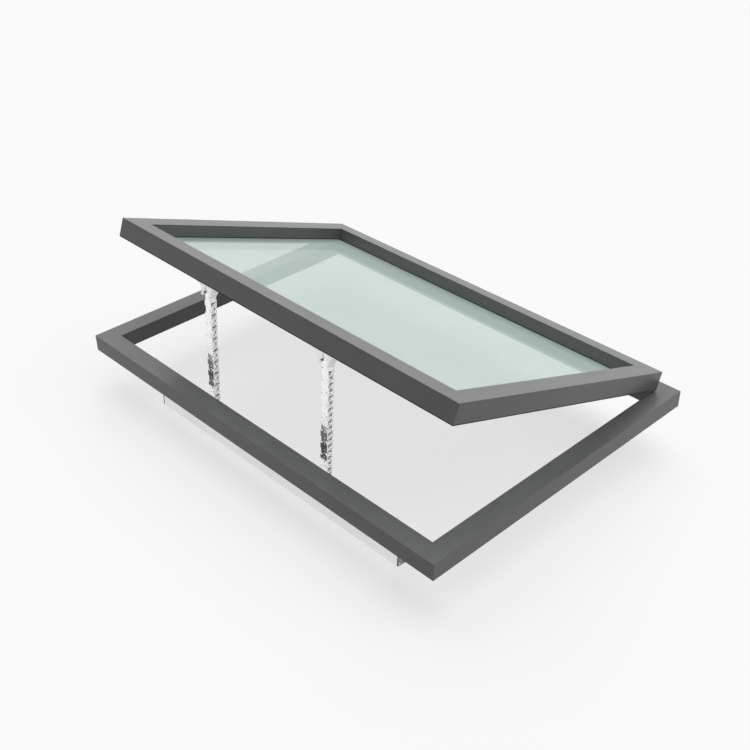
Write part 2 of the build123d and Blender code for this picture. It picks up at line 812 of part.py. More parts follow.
def gearmotor(line):
    """Sealed drive: a flat gear case on the shaft's end, a gear block and the motor's can."""
    x = line + sprocket_radius
    cheek = opener_y + guide_half_width
    case_y = (cheek + gearcase_play, cheek + gearcase_width)
    start = x + gear_block_reach
    end = start + gear_block_length
    floor = opener_z - gear_block_foot
    case = block((x - gearcase_reach, end), case_y, (opener_z - gearcase_reach, opener_z + gearcase_rise))
    case += block((start, end), (opener_y - gear_block_half_width, case_y[1]), (floor, opener_roof))
    axis = (opener_y + motor_aside, floor + motor_above_foot)
    case += facet_rod("x", axis, motor_radius, end, end + motor_length, boss_sides)
    hole = (case_y[0], case_y[1] - gearcase_wall)
    return case - facet_hole("y", (x, opener_z), shaft_radius + shaft_play, *hole)


def control_board():
    """Circuit board across the motor end, with its terminal block and two capacitors."""
    end = board_end
    roof = opener_roof
    y = (opener_y - board_thickness / 2, opener_y + board_thickness / 2)
    board = block((end - board_length, end), y, (roof - board_height, roof))
    right, top = end - terminal_inset, roof - terminal_below_roof
    terminal_y = (y[1], y[1] + terminal_depth)
    board += block((right - terminal_width, right), terminal_y, (top - terminal_height, top))
    for inset in capacitor_insets:
        place = (end - inset, roof - capacitor_below_roof)
        board += facet_rod("y", place, capacitor_radius, y[0] - capacitor_height, y[0], hole_sides)
    return board


def cable_gland():
    """Gland for the supply lead in the motor end's cap, with an open bore."""
    start = opener_ends[1] + end_cap_thickness
    nut = start + gland_length / 2
    end = start + gland_length
    gland = facet_rod("x", gland_place, gland_nut_radius, start, nut, hexagon_sides)
    gland += facet_rod("x", gland_place, gland_dome_radius, nut, end, boss_sides)
    return gland - rod("x", gland_place, gland_bore, start, end)


def build():
    """Write every node of the skylight, in the place where it stands when open."""
    os.makedirs("parts", exist_ok=True)
    for side, rail in base_frame().items():
        save(f"base_rail_{side}", rail)
        save(f"sash_rail_{side}", opening(sash_rail(side)))
        save(f"glazing_bead_{side}", opening(glazing_bead(side)))
    base_depth = (base_rail_wall + cleat_play, base_rail_width - base_rail_wall - cleat_play)
    base_height = (base_rail_wall, base_rail_height - base_rail_wall - cleat_play)
    save("base_corner_cleats", *corner_cleats(frame_half, base_depth, base_height))
    sash_depth = (sash_wall + cleat_play, sash_tube_width - sash_wall - cleat_play)
    sash_level = (sash_bottom + sash_wall, sash_top - sash_wall - cleat_play)
    save("sash_corner_cleats", *[opening(one) for one in corner_cleats(sash_half, sash_depth, sash_level)])
    save("fixing_inserts", *fixing_inserts())

    for name, x in (("left", -hinge_x), ("right", hinge_x)):
        base_leaf, sash_leaf, pin = hinge(x)
        save(f"hinge_base_leaf_{name}", base_leaf)
        save(f"hinge_sash_leaf_{name}", opening(sash_leaf))
        save(f"hinge_pin_{name}", pin)
    base_screws, sash_screws = hinge_screws()
    save("base_screws", *base_screws, *bracket_screws())
    save("sash_screws", *[opening(one) for one in sash_screws + head_screws()])

    strip = (sash_inner - glazing_strip_inset - glazing_strip_width, sash_inner - glazing_strip_inset)
    save("glass_pane", opening(glass_pane()))
    save("glazing_tape", opening(ring(sash_half, strip, (tape_bottom, glass_bottom))))
    save("bead_gasket", opening(ring(sash_half, strip, (glass_top, bead_bottom))))
    save("setting_blocks", *[opening(one) for one in setting_blocks()])
    seal = (seal_inset, seal_inset + seal_width)
    save("sash_seal", opening(ring(sash_half, seal, (base_rail_height + seal_clearance, sash_bottom))))

    save("opener_housing", leaning(opener_housing()))
    save("opener_lid", leaning(opener_lid()))
    save("control_board", leaning(control_board()))
    save("cable_gland", leaning(cable_gland()))
    for name, end, outwards in zip(("left", "right"), opener_ends, (-1, 1)):
        save(f"opener_end_cap_{name}", leaning(opener_end_cap(end, outwards)))
        save(f"opener_bracket_{name}", opener_bracket(end, outwards))
        save(f"swivel_pin_{name}", swivel_pin(end, outwards))

    for name, line in chain_lines.items():
        pins = rising_pins(line)
        save(f"sash_bracket_{name}", opening(head_bracket(line)))
        save(f"bracket_pin_{name}", opening(head_pin(line)))
        save(f"chain_{name}_end", leaning(chain_end(line)))
        head, run = pins[: head_links + 1], pins[head_links:]
        save(f"chain_{name}_head", *[leaning(one) for one in links(head, 1)])
        save(f"chain_{name}_run", *[leaning(one) for one in links(run, head_links + 1)])
        save(f"chain_{name}_tail", *[leaning(one) for one in links(stored_pins(line), rising_links + 1)])
        save(f"chain_guide_{name}", leaning(chain_guide(line)))
        save(f"sprocket_{name}", leaning(sprocket(line)))
        save(f"gearmotor_{name}", leaning(gearmotor(line)))


print(f"hinge axis y {hinge_y:.3f} z {hinge_z:.3f}, swivel axis y {opener_y:.3f} z {opener_z:.3f}")
print(f"head pin open y {pin_open[0]:.4f} z {pin_open[1]:.4f}, lean {lean_open:.4f} to {lean_shut:.4f}")
print(f"chain {chain_open:.3f} open, {chain_shut:.3f} shut; {rising_links} links, {head_links} at the head")
print(f"chain end {chain_end_length:.3f}, sprocket pitch radius {sprocket_radius:.4f}")
build()
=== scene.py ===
import json
import logging
import math
from dataclasses import dataclass
from enum import Enum
from typing import Union

import bpy
import numpy as np
from mathutils import Matrix, Vector


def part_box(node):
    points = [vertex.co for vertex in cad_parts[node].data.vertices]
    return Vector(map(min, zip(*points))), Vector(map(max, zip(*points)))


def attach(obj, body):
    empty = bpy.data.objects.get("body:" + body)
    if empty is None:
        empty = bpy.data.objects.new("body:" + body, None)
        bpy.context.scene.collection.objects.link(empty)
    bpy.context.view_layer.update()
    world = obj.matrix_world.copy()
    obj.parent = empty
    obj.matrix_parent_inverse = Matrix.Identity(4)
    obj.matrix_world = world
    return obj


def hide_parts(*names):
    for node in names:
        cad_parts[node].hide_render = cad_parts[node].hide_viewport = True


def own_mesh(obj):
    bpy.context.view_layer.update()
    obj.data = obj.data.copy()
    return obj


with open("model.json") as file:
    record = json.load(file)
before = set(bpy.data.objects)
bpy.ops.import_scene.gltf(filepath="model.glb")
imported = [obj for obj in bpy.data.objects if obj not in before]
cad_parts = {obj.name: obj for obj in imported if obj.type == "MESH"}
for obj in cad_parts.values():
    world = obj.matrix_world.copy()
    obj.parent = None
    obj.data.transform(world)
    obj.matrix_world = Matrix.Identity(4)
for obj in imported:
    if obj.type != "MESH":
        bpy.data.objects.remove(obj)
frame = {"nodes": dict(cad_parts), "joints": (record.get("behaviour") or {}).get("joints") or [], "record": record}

log = logging.getLogger("skylight")
MM = 0.001

Colour = tuple[float, float, float]
Socket = bpy.types.NodeSocket
Value = Union[Socket, float, Colour, tuple[float, float, float, float]]
Way = Union[np.ndarray, tuple[float, float, float]]


class Hand(Enum):
    """Which of a pair, as seen from the side that opens."""

    LEFT = "left"
    RIGHT = "right"


class Stretch(Enum):
    """The stretches of a chain: under the sash, down to the casing, and stored in it."""

    HEAD = "head"
    RUN = "run"
    TAIL = "tail"


class Pattern(Enum):
    """What the finer relief of a finish looks like."""

    GRAINY = "grainy"
    BRUSHED = "brushed"
    SMOOTH = "smooth"


def joint(name: str) -> dict:
    """Returns the frame's joint of that name."""
    return next(one for one in frame["joints"] if one["name"] == name)


def box(node: str) -> np.ndarray:
    """Returns the low and the high corner of a node's box."""
    return np.array([tuple(corner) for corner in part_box(node)])


# Surfaces


@dataclass
class Surface:
    """Points and faces of one closed surface, or of several together."""

    points: np.ndarray
    faces: list[tuple[int, ...]]

    def placed(self, matrix: np.ndarray) -> "Surface":
        """Returns the surface carried by a 4 by 4 matrix."""
        return Surface(self.points @ matrix[:3, :3].T + matrix[:3, 3], self.faces)

    @staticmethod
    def joined(parts: list["Surface"]) -> "Surface":
        """Returns several surfaces as one."""
        starts = np.cumsum([0] + [len(part.points) for part in parts])
        faces = [
            tuple(index + int(start) for index in face)
            for part, start in zip(parts, starts)
            for face in part.faces
        ]
        return Surface(np.concatenate([part.points for part in parts]), faces)

    def piece(self, name: str, smooth_degrees: float = 30.0) -> bpy.types.Object:
        """Makes a Blender object of the surface.

        Args:
            name: The piece's name.
            smooth_degrees: Edges that turn by less than this are shaded smooth.

        Returns:
            The new object, at the origin.
        """
        mesh = bpy.data.meshes.new(name)
        mesh.from_pydata(self.points.tolist(), [], self.faces)
        mesh.update()
        made = bpy.data.objects.new(name, mesh)
        bpy.context.scene.collection.objects.link(made)
        mesh.shade_smooth()
        mesh.set_sharp_from_angle(angle=math.radians(smooth_degrees))
        log.info("%s: %d faces", name, len(self.faces))
        return made


def lofted(rings: np.ndarray) -> Surface:
    """Skins a stack of rings, and closes both ends.

    Point j of ring i is joined to point j + 1 of the same ring and to point j of ring i + 1.

    Args:
        rings: Rings by points by 3; each ring runs anticlockwise about the way the stack goes.

    Returns:
        A closed surface whose faces point outwards.
    """
    count, around = rings.shape[:2]
    index = np.arange(count * around).reshape(count, around)
    after = np.roll(index, -1, axis=1)
    sides = np.stack([index[:-1], after[:-1], after[1:], index[1:]], axis=-1).reshape(-1, 4)
    faces = [tuple(side) for side in sides.tolist()]
    ends = [tuple(index[0, ::-1].tolist()), tuple(index[-1].tolist())]
    return Surface(rings.reshape(-1, 3), faces + ends)


def inset(outline: np.ndarray, by: float) -> np.ndarray:
    """Shrinks a closed anticlockwise outline.

    Each point moves along the mean of its two edges' inward normals, divided by the cosine of half
    the turn, so that each edge moves inwards by the same distance.

    Args:
        outline: Points by 2.
        by: How far each edge moves.

    Returns:
        The smaller outline, with as many points.
    """
    edge = np.roll(outline, -1, axis=0) - outline
    edge /= np.linalg.norm(edge, axis=1, keepdims=True)
    inward = np.stack([-edge[:, 1], edge[:, 0]], axis=1)
    before = np.roll(inward, 1, axis=0)
    mean = inward + before
    mean /= np.linalg.norm(mean, axis=1, keepdims=True)
    cosine = np.clip((mean * inward).sum(axis=1, keepdims=True), 0.5, 1.0)
    return outline + mean * by / cosine


def plate(outline: np.ndarray, low: float, high: float, bevel: float) -> Surface:
    """Makes a flat plate with bevelled edges.

    The outline is stacked four times: shrunk by the bevel on both faces, and full just inside them.

    Args:
        outline: Points by 2, anticlockwise, in the plate's plane.
        low: The lower face, across the plate.
        high: The upper face.
        bevel: Width of the bevel.

    Returns:
        The plate, with its outline along x and y and its thickness along z.
    """
    small = inset(outline, bevel)
    stack = ((small, low), (outline, low + bevel), (outline, high - bevel), (small, high))
    rings = [np.column_stack([ring, np.full(len(ring), level)]) for ring, level in stack]
    return lofted(np.stack(rings))


def rounded(corners: list[tuple[float, float, float]], steps: int = 9) -> np.ndarray:
    """Rounds the corners of a closed outline.

    Each corner becomes an arc that touches both its edges. The arc's centre lies on the corner's
    bisector, at the radius divided by the sine of half its angle, and the arc goes about it through
    half a turn less the corner's angle.

    Args:
        corners: The outline's corners in order, anticlockwise, each as x, y and radius.
        steps: Points along each arc.

    Returns:
        Points by 2, with no point twice.
    """
    place, radius = np.split(np.array(corners), [2], axis=1)
    ways = [np.roll(place, shift, axis=0) - place for shift in (1, -1)]
    back, ahead = [way / np.linalg.norm(way, axis=1, keepdims=True) for way in ways]
    half = np.arccos(np.clip((back * ahead).sum(axis=1, keepdims=True), -1.0, 1.0)) / 2
    middle = (back + ahead) / (2 * np.cos(half))
    centre = place + middle * radius / np.sin(half)
    start = place + back * radius / np.tan(half) - centre
    side = np.sign(back[:, 1:] * ahead[:, :1] - back[:, :1] * ahead[:, 1:])
    turn = side * (np.pi - 2 * half) * np.linspace(0.0, 1.0, steps)
    x = centre[:, :1] + start[:, :1] * np.cos(turn) - start[:, 1:] * np.sin(turn)
    y = centre[:, 1:] + start[:, :1] * np.sin(turn) + start[:, 1:] * np.cos(turn)
    points = np.stack([x, y], axis=-1).reshape(-1, 2)
    apart = np.linalg.norm(points - np.roll(points, 1, axis=0), axis=1)
    return points[apart > 0.001 * MM]


def rectangle(x: float, y: float, corner: float) -> np.ndarray:
    """Outlines a rectangle about the origin, from its half sides and its corners' radius."""
    return rounded([(-x, -y, corner), (x, -y, corner), (x, y, corner), (-x, y, corner)])


def rings_of(profile: np.ndarray, around: int, flat: slice) -> np.ndarray:
    """Turns a profile's points about the z axis.

    A point at (r, z) becomes the ring (r cos t, r sin t, z) for t from 0 to a full turn. A flat ring
    has six flat sides, with its corners at r: its radius is r times the cosine of a twelfth of a
    turn, divided by the cosine of the angle from the nearest side's middle.

    Args:
        profile: Points by 2, as radius and height.
        around: Points round each ring.
        flat: Which of the profile's points make flat-sided rings.

    Returns:
        Rings by points by 3.
    """
    turn = np.arange(around) * 2 * np.pi / around
    circle = np.stack([np.cos(turn), np.sin(turn)], axis=1)
    points = np.empty((len(profile), around, 3))
    points[:, :, :2] = profile[:, 0, None, None] * circle
    points[:, :, 2] = profile[:, 1, None]
    half = np.pi / 6
    points[flat, :, :2] *= (np.cos(half) / np.cos(turn % (2 * half) - half))[:, None]
    return points


def turned(profile: np.ndarray, around: int, flat: slice = slice(0)) -> Surface:
    """Turns an open profile about the z axis, and closes both its ends.

    Args:
        profile: Points by 2, as radius and height, from the lower end to the upper.
        around: Points round each ring.
        flat: Which of the profile's points make six-sided rings.

    Returns:
        A closed surface.
    """
    return lofted(rings_of(profile, around, flat))


def turned_ring(profile: np.ndarray, around: int, flat: slice = slice(0)) -> Surface:
    """Turns a closed profile about the z axis, as a ring with an open bore.

    Args:
        profile: Points by 2, as radius and height, anticlockwise; the last ring joins the first.
        around: Points round each ring.
        flat: Which of the profile's points make six-sided rings.

    Returns:
        A closed surface with a hole through it.
    """
    points = rings_of(profile, around, flat)
    index = np.arange(len(profile) * around).reshape(len(profile), around)
    after, above = np.roll(index, -1, axis=1), np.roll(index, -1, axis=0)
    corner = np.roll(after, -1, axis=0)
    faces = np.stack([index, after, corner, above], axis=-1).reshape(-1, 4)
    return Surface(points.reshape(-1, 3), [tuple(face) for face in faces.tolist()])


def rod(radius: float, half: float, end_radius: float, taper: float, around: int) -> Surface:
    """Turns a rod about the z axis, from -half to half, whose ends narrow over a short taper."""
    straight = half - taper
    profile = [(end_radius, -half), (radius, -straight), (radius, straight), (end_radius, half)]
    return turned(np.array(profile), around)


def bushing(bore: float, radius: float, low: float, high: float, bevel: float) -> Surface:
    """Turns a bushing about the z axis, from low to high, with bevelled outer edges."""
    lower = [(bore, low), (radius - bevel, low), (radius, low + bevel)]
    upper = [(radius, high - bevel), (radius - bevel, high), (bore, high)]
    return turned_ring(np.array(lower + upper), 40)


def frame_matrix(origin: Way, x: Way, y: Way, z: Way) -> np.ndarray:
    """Returns the 4 by 4 matrix that carries the axes to x, y and z, and the origin to a place."""
    matrix = np.eye(4)
    matrix[:3, :3] = np.column_stack([x, y, z])
    matrix[:3, 3] = origin
    return matrix


def moved(by: Way) -> np.ndarray:
    """Returns the matrix that moves without turning."""
    return frame_matrix(by, *np.eye(3))


def facing(origin: np.ndarray, outwards: float) -> np.ndarray:
    """Returns the matrix that stands a turned piece on a face that looks along X, or against it."""
    return frame_matrix(origin, (0, 1, 0), (0, 0, outwards), (outwards, 0, 0))


def upright(origin: np.ndarray) -> np.ndarray:
    """Returns the matrix that stands a plate's outline upright along X, its thickness against Y."""
    return frame_matrix(origin, (1, 0, 0), (0, 0, 1), (0, -1, 0))


def on_open_sash(origin: np.ndarray) -> np.ndarray:
    """Returns the matrix of the sash's own axes, as it stands open, from a place on it.

    Y and z are turned about x by the opening angle a: y is (0, cos a, -sin a), z is (0, sin a, cos a).
    """
    angle = math.radians(-joint("sash_hinge")["range_deg"][0])
    sine, cosine = math.sin(angle), math.cos(angle)
    return frame_matrix(origin, (1, 0, 0), (0, cosine, -sine), (0, sine, cosine))


NOWHERE = np.zeros(3)
ALONG_X = facing(NOWHERE, 1.0)


# Finishes

# Noise seldom leaves this range.
NOISE_RANGE = (0.3, 0.7)


class Tree:
    """Node tree of one material, with short ways to add and join its nodes."""

    def __init__(self, name: str) -> None:
        """Starts a material with its surface shader."""
        self.material = bpy.data.materials.new(name)
        self.material.use_nodes = True
        self.nodes = self.material.node_tree.nodes
        self.links = self.material.node_tree.links
        self.surface = self.nodes["Principled BSDF"]
        self.place: Socket = self.nodes.new("ShaderNodeTexCoord").outputs["Object"]

    def feed(self, target: Socket, value: Value) -> None:
        """Joins a socket to the target, or sets the target's own number or colour."""
        if isinstance(value, bpy.types.NodeSocket):
            self.links.new(value, target)
        else:
            target.default_value = value

    def set(self, **values: Value) -> None:
        """Feeds the surface shader's sockets, named with _ for each space."""
        for name, value in values.items():
            self.feed(self.surface.inputs[name.replace("_", " ")], value)

    def math(self, operation: str, first: Value, second: Value = 0.0) -> Socket:
        """Returns the result of a sum on two numbers."""
        node = self.nodes.new("ShaderNodeMath")
        node.operation = operation
        self.feed(node.inputs[0], first)
        self.feed(node.inputs[1], second)
        return node.outputs[0]

    def noise(self, scale: float, detail: float = 2.0, stretch: Colour = (1.0, 1.0, 1.0)) -> Socket:
        """Returns soft noise with so many cells to the metre, drawn out by stretch."""
        mapping = self.nodes.new("ShaderNodeMapping")
        self.feed(mapping.inputs["Vector"], self.place)
        mapping.inputs["Scale"].default_value = stretch
        node = self.nodes.new("ShaderNodeTexNoise")
        self.feed(node.inputs["Vector"], mapping.outputs[0])
        node.inputs["Scale"].default_value = scale
        node.inputs["Detail"].default_value = detail
        return node.outputs[0]

    def spread(self, value: Socket, start: float, end: float, low: float, high: float) -> Socket:
        """Returns a number that goes from low to high as value goes from start to end."""
        node = self.nodes.new("ShaderNodeMapRange")
        self.feed(node.inputs["Value"], value)
        for name, number in (("From Min", start), ("From Max", end), ("To Min", low), ("To Max", high)):
            node.inputs[name].default_value = number
        return node.outputs[0]

    def mixed(self, share: Value, first: Value, second: Value) -> Socket:
        """Returns a colour between two, by a share from 0 to 1."""
        node = self.nodes.new("ShaderNodeMix")
        node.data_type = "RGBA"
        self.feed(node.inputs[0], share)
        self.feed(node.inputs[6], opaque(first))
        self.feed(node.inputs[7], opaque(second))
        return node.outputs[2]

    def rounded(self, radius: float) -> tuple[Socket, Socket]:
        """Softens the edges' shading.

        Args:
            radius: How far from an edge the shading turns.

        Returns:
            The softened normal, and a number that is 0 on a flat face and rises to 1 on an edge.
        """
        bevel = self.nodes.new("ShaderNodeBevel")
        bevel.samples = 6
        bevel.inputs["Radius"].default_value = radius
        geometry = self.nodes.new("ShaderNodeNewGeometry")
        dot = self.nodes.new("ShaderNodeVectorMath")
        dot.operation = "DOT_PRODUCT"
        self.feed(dot.inputs[0], bevel.outputs[0])
        self.feed(dot.inputs[1], geometry.outputs["True Normal"])
        flat_cosine, edge_cosine = 0.995, 0.85
        return bevel.outputs[0], self.spread(dot.outputs["Value"], flat_cosine, edge_cosine, 0.0, 1.0)

    def relief(self, height: Socket, depth: float, normal: Value = None) -> Socket:
        """Returns a normal that shows a fine relief of that depth, in metres."""
        node = self.nodes.new("ShaderNodeBump")
        node.inputs["Strength"].default_value = 1.0
        node.inputs["Distance"].default_value = depth
        self.feed(node.inputs["Height"], height)
        if normal is not None:
            self.feed(node.inputs["Normal"], normal)
        return node.outputs[0]


def opaque(colour: Value) -> Value:
    """Returns a colour of three numbers with its alpha of 1, and anything else unchanged."""
    return (*colour, 1.0) if isinstance(colour, tuple) and len(colour) == 3 else colour


def scaled(colour: Colour, by: float) -> Colour:
    """Returns a colour made lighter or darker."""
    return tuple(channel * by for channel in colour)


@dataclass(frozen=True)
class Coat:
    """A coated, moulded or bare surface whose tone, gloss and relief vary a little."""

    name: str
    colour: Colour
    metallic: float = 0.0
    roughness: float = 0.5
    specular: float = 0.5
    tone_share: float = 0.06
    tone_cells: float = 9.0
    pattern: Pattern = Pattern.GRAINY
    grain_cells: float = 1100.0
    grain_depth: float = 0.00004
    edge_radius: float = 0.0008
    edge_tone: float = 1.25
    wear_cells: float = 60.0
    wear_share: tuple[float, float] = (0.2, 0.8)
    gloss_share: float = 0.15

    def material(self) -> bpy.types.Material:
        """Builds the finish's material."""
        tree = Tree(self.name)
        drift = tree.spread(tree.noise(self.tone_cells, 4.0), *NOISE_RANGE, 0.0, 1.0)
        dark, light = scaled(self.colour, 1 - self.tone_share), scaled(self.colour, 1 + self.tone_share)
        normal, edge = tree.rounded(self.edge_radius)
        patches = tree.spread(tree.noise(self.wear_cells, 3.0), 0.35, 0.65, *self.wear_share)
        worn = tree.math("MULTIPLY", edge, patches)
        base = tree.mixed(worn, tree.mixed(drift, dark, light), scaled(self.colour, self.edge_tone))
        stretch = (0.02, 1.0, 1.0) if self.pattern is Pattern.BRUSHED else (1.0, 1.0, 1.0)
        grain = tree.noise(self.grain_cells, 3.0, stretch)
        glossier = self.roughness * (1 - self.gloss_share)
        duller = self.roughness * (1 + self.gloss_share)
        rough = tree.spread(grain, *NOISE_RANGE, glossier, duller)
        tree.set(Base_Color=base, Metallic=self.metallic, Roughness=rough)
        tree.set(Specular_IOR_Level=self.specular)
        if self.pattern is not Pattern.SMOOTH:
            normal = tree.relief(grain, self.grain_depth, normal)
        tree.set(Normal=normal)
        return tree.material


@dataclass(frozen=True)
class LaminatedGlass:
    """Glass with a milky film: each of the pane's two faces veils what lies behind, and is glossy."""

    name: str
    colour: Colour
    veil: float
    roughness: float = 0.04
    specular: float = 0.08
    cloud_cells: float = 2.2
    wave_cells: float = 14.0
    wave_depth: float = 0.00002

    def material(self) -> bpy.types.Material:
        """Builds the finish's material."""
        tree = Tree(self.name)
        cloud = tree.spread(tree.noise(self.cloud_cells, 2.0), *NOISE_RANGE, 0.0, 1.0)
        base = tree.mixed(cloud, scaled(self.colour, 0.97), scaled(self.colour, 1.02))
        wave = tree.noise(self.wave_cells, 1.0)
        tree.set(Base_Color=base, Roughness=self.roughness, Alpha=self.veil)
        tree.set(Specular_IOR_Level=self.specular)
        tree.set(Normal=tree.relief(wave, self.wave_depth))
        return tree.material


@dataclass(frozen=True)
class Board:
    """Lacquered circuit board: copper lines under green, on a square grid."""

    name: str
    colour: Colour = (0.012, 0.11, 0.04)
    line: Colour = (0.05, 0.26, 0.10)
    roughness: float = 0.35
    grid_cells: float = 160.0
    line_share: float = 0.03
    line_depth: float = 0.00005

    def material(self) -> bpy.types.Material:
        """Builds the finish's material."""
        tree = Tree(self.name)
        brick = tree.nodes.new("ShaderNodeTexBrick")
        tree.feed(brick.inputs["Vector"], tree.place)
        brick.inputs["Scale"].default_value = self.grid_cells
        brick.inputs["Mortar Size"].default_value = self.line_share
        lines = brick.outputs["Fac"]
        base = tree.mixed(lines, self.colour, self.line)
        normal = tree.relief(lines, self.line_depth)
        tree.set(Base_Color=base, Roughness=self.roughness, Normal=normal)
        return tree.material


GREY = (0.128, 0.130, 0.133)

FINISHES = {
    "frame_paint": Coat("anthracite powder coat", GREY, roughness=0.30),
    "hinge_paint": Coat("anthracite hinge coat", GREY, roughness=0.34),
    "glass": LaminatedGlass("laminated glass", (0.605, 0.726, 0.687), veil=0.54),
    "seal_rubber": Coat("black seal rubber", (0.025, 0.025, 0.026), roughness=0.72, edge_tone=1.1),
    "block_plastic": Coat("black block plastic", (0.05, 0.05, 0.05), roughness=0.6),
    "casing_metal": Coat("clear anodised casing", (0.88, 0.885, 0.89), metallic=1.0, roughness=0.26,
                         tone_share=0.02, edge_tone=1.04, pattern=Pattern.BRUSHED, grain_depth=0.00001),
    "cap_plastic": Coat("light cap plastic", (0.78, 0.785, 0.79), roughness=0.4,
                        tone_share=0.02, edge_tone=1.05),
    "bracket_metal": Coat("bright cast zinc", (0.86, 0.865, 0.87), metallic=0.85, roughness=0.3,
                          tone_share=0.05, tone_cells=60.0, edge_tone=1.05),
    "bright_steel": Coat("zinc plated steel", (0.70, 0.70, 0.69), metallic=1.0, roughness=0.28,
                         tone_cells=220.0, edge_tone=1.1),
    "chain_steel": Coat("polished chain steel", (0.90, 0.90, 0.90), metallic=1.0, roughness=0.12,
                        tone_cells=90.0, tone_share=0.04, pattern=Pattern.SMOOTH,
                        edge_radius=0.0003, edge_tone=1.0),
    "cleat_metal": Coat("mill aluminium", (0.72, 0.72, 0.73), metallic=1.0, roughness=0.4,
                        pattern=Pattern.BRUSHED),
    "guide_plastic": Coat("black guide plastic", (0.03, 0.03, 0.03), roughness=0.45),
    "motor_steel": Coat("drawn motor can", (0.45, 0.45, 0.46), metallic=1.0, roughness=0.35,
                        pattern=Pattern.BRUSHED),
    "board": Board("green circuit board"),
}


class Dresser:
    """Gives every piece the material of its slot, made once."""

    def __init__(self) -> None:
        """Builds the materials, and dresses every node that comes with the frame."""
        self.materials = {slot: finish.material() for slot, finish in FINISHES.items()}
        for part in frame["record"]["subparts"]:
            node = frame["nodes"][part["node"]]
            self.paint(node, part["material_slot"])

    def paint(self, piece: bpy.types.Object, slot: str) -> None:
        """Puts a slot's material on a piece, in place of any other."""
        piece.data.materials.clear()
        piece.data.materials.append(self.materials[slot])

    def dress(self, piece: bpy.types.Object, slot: str, body: str, *nodes: str) -> bpy.types.Object:
        """Paints a new piece and ties it to the frame.

        Args:
            piece: The new piece.
            slot: The material slot that it takes its finish from.
            body: The body that it moves with.
            nodes: The nodes that it stands for.

        Returns:
            The same piece.
        """
        self.paint(piece, slot)
        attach(piece, body)
        if nodes:
            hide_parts(*nodes)
        return piece


# Push chains


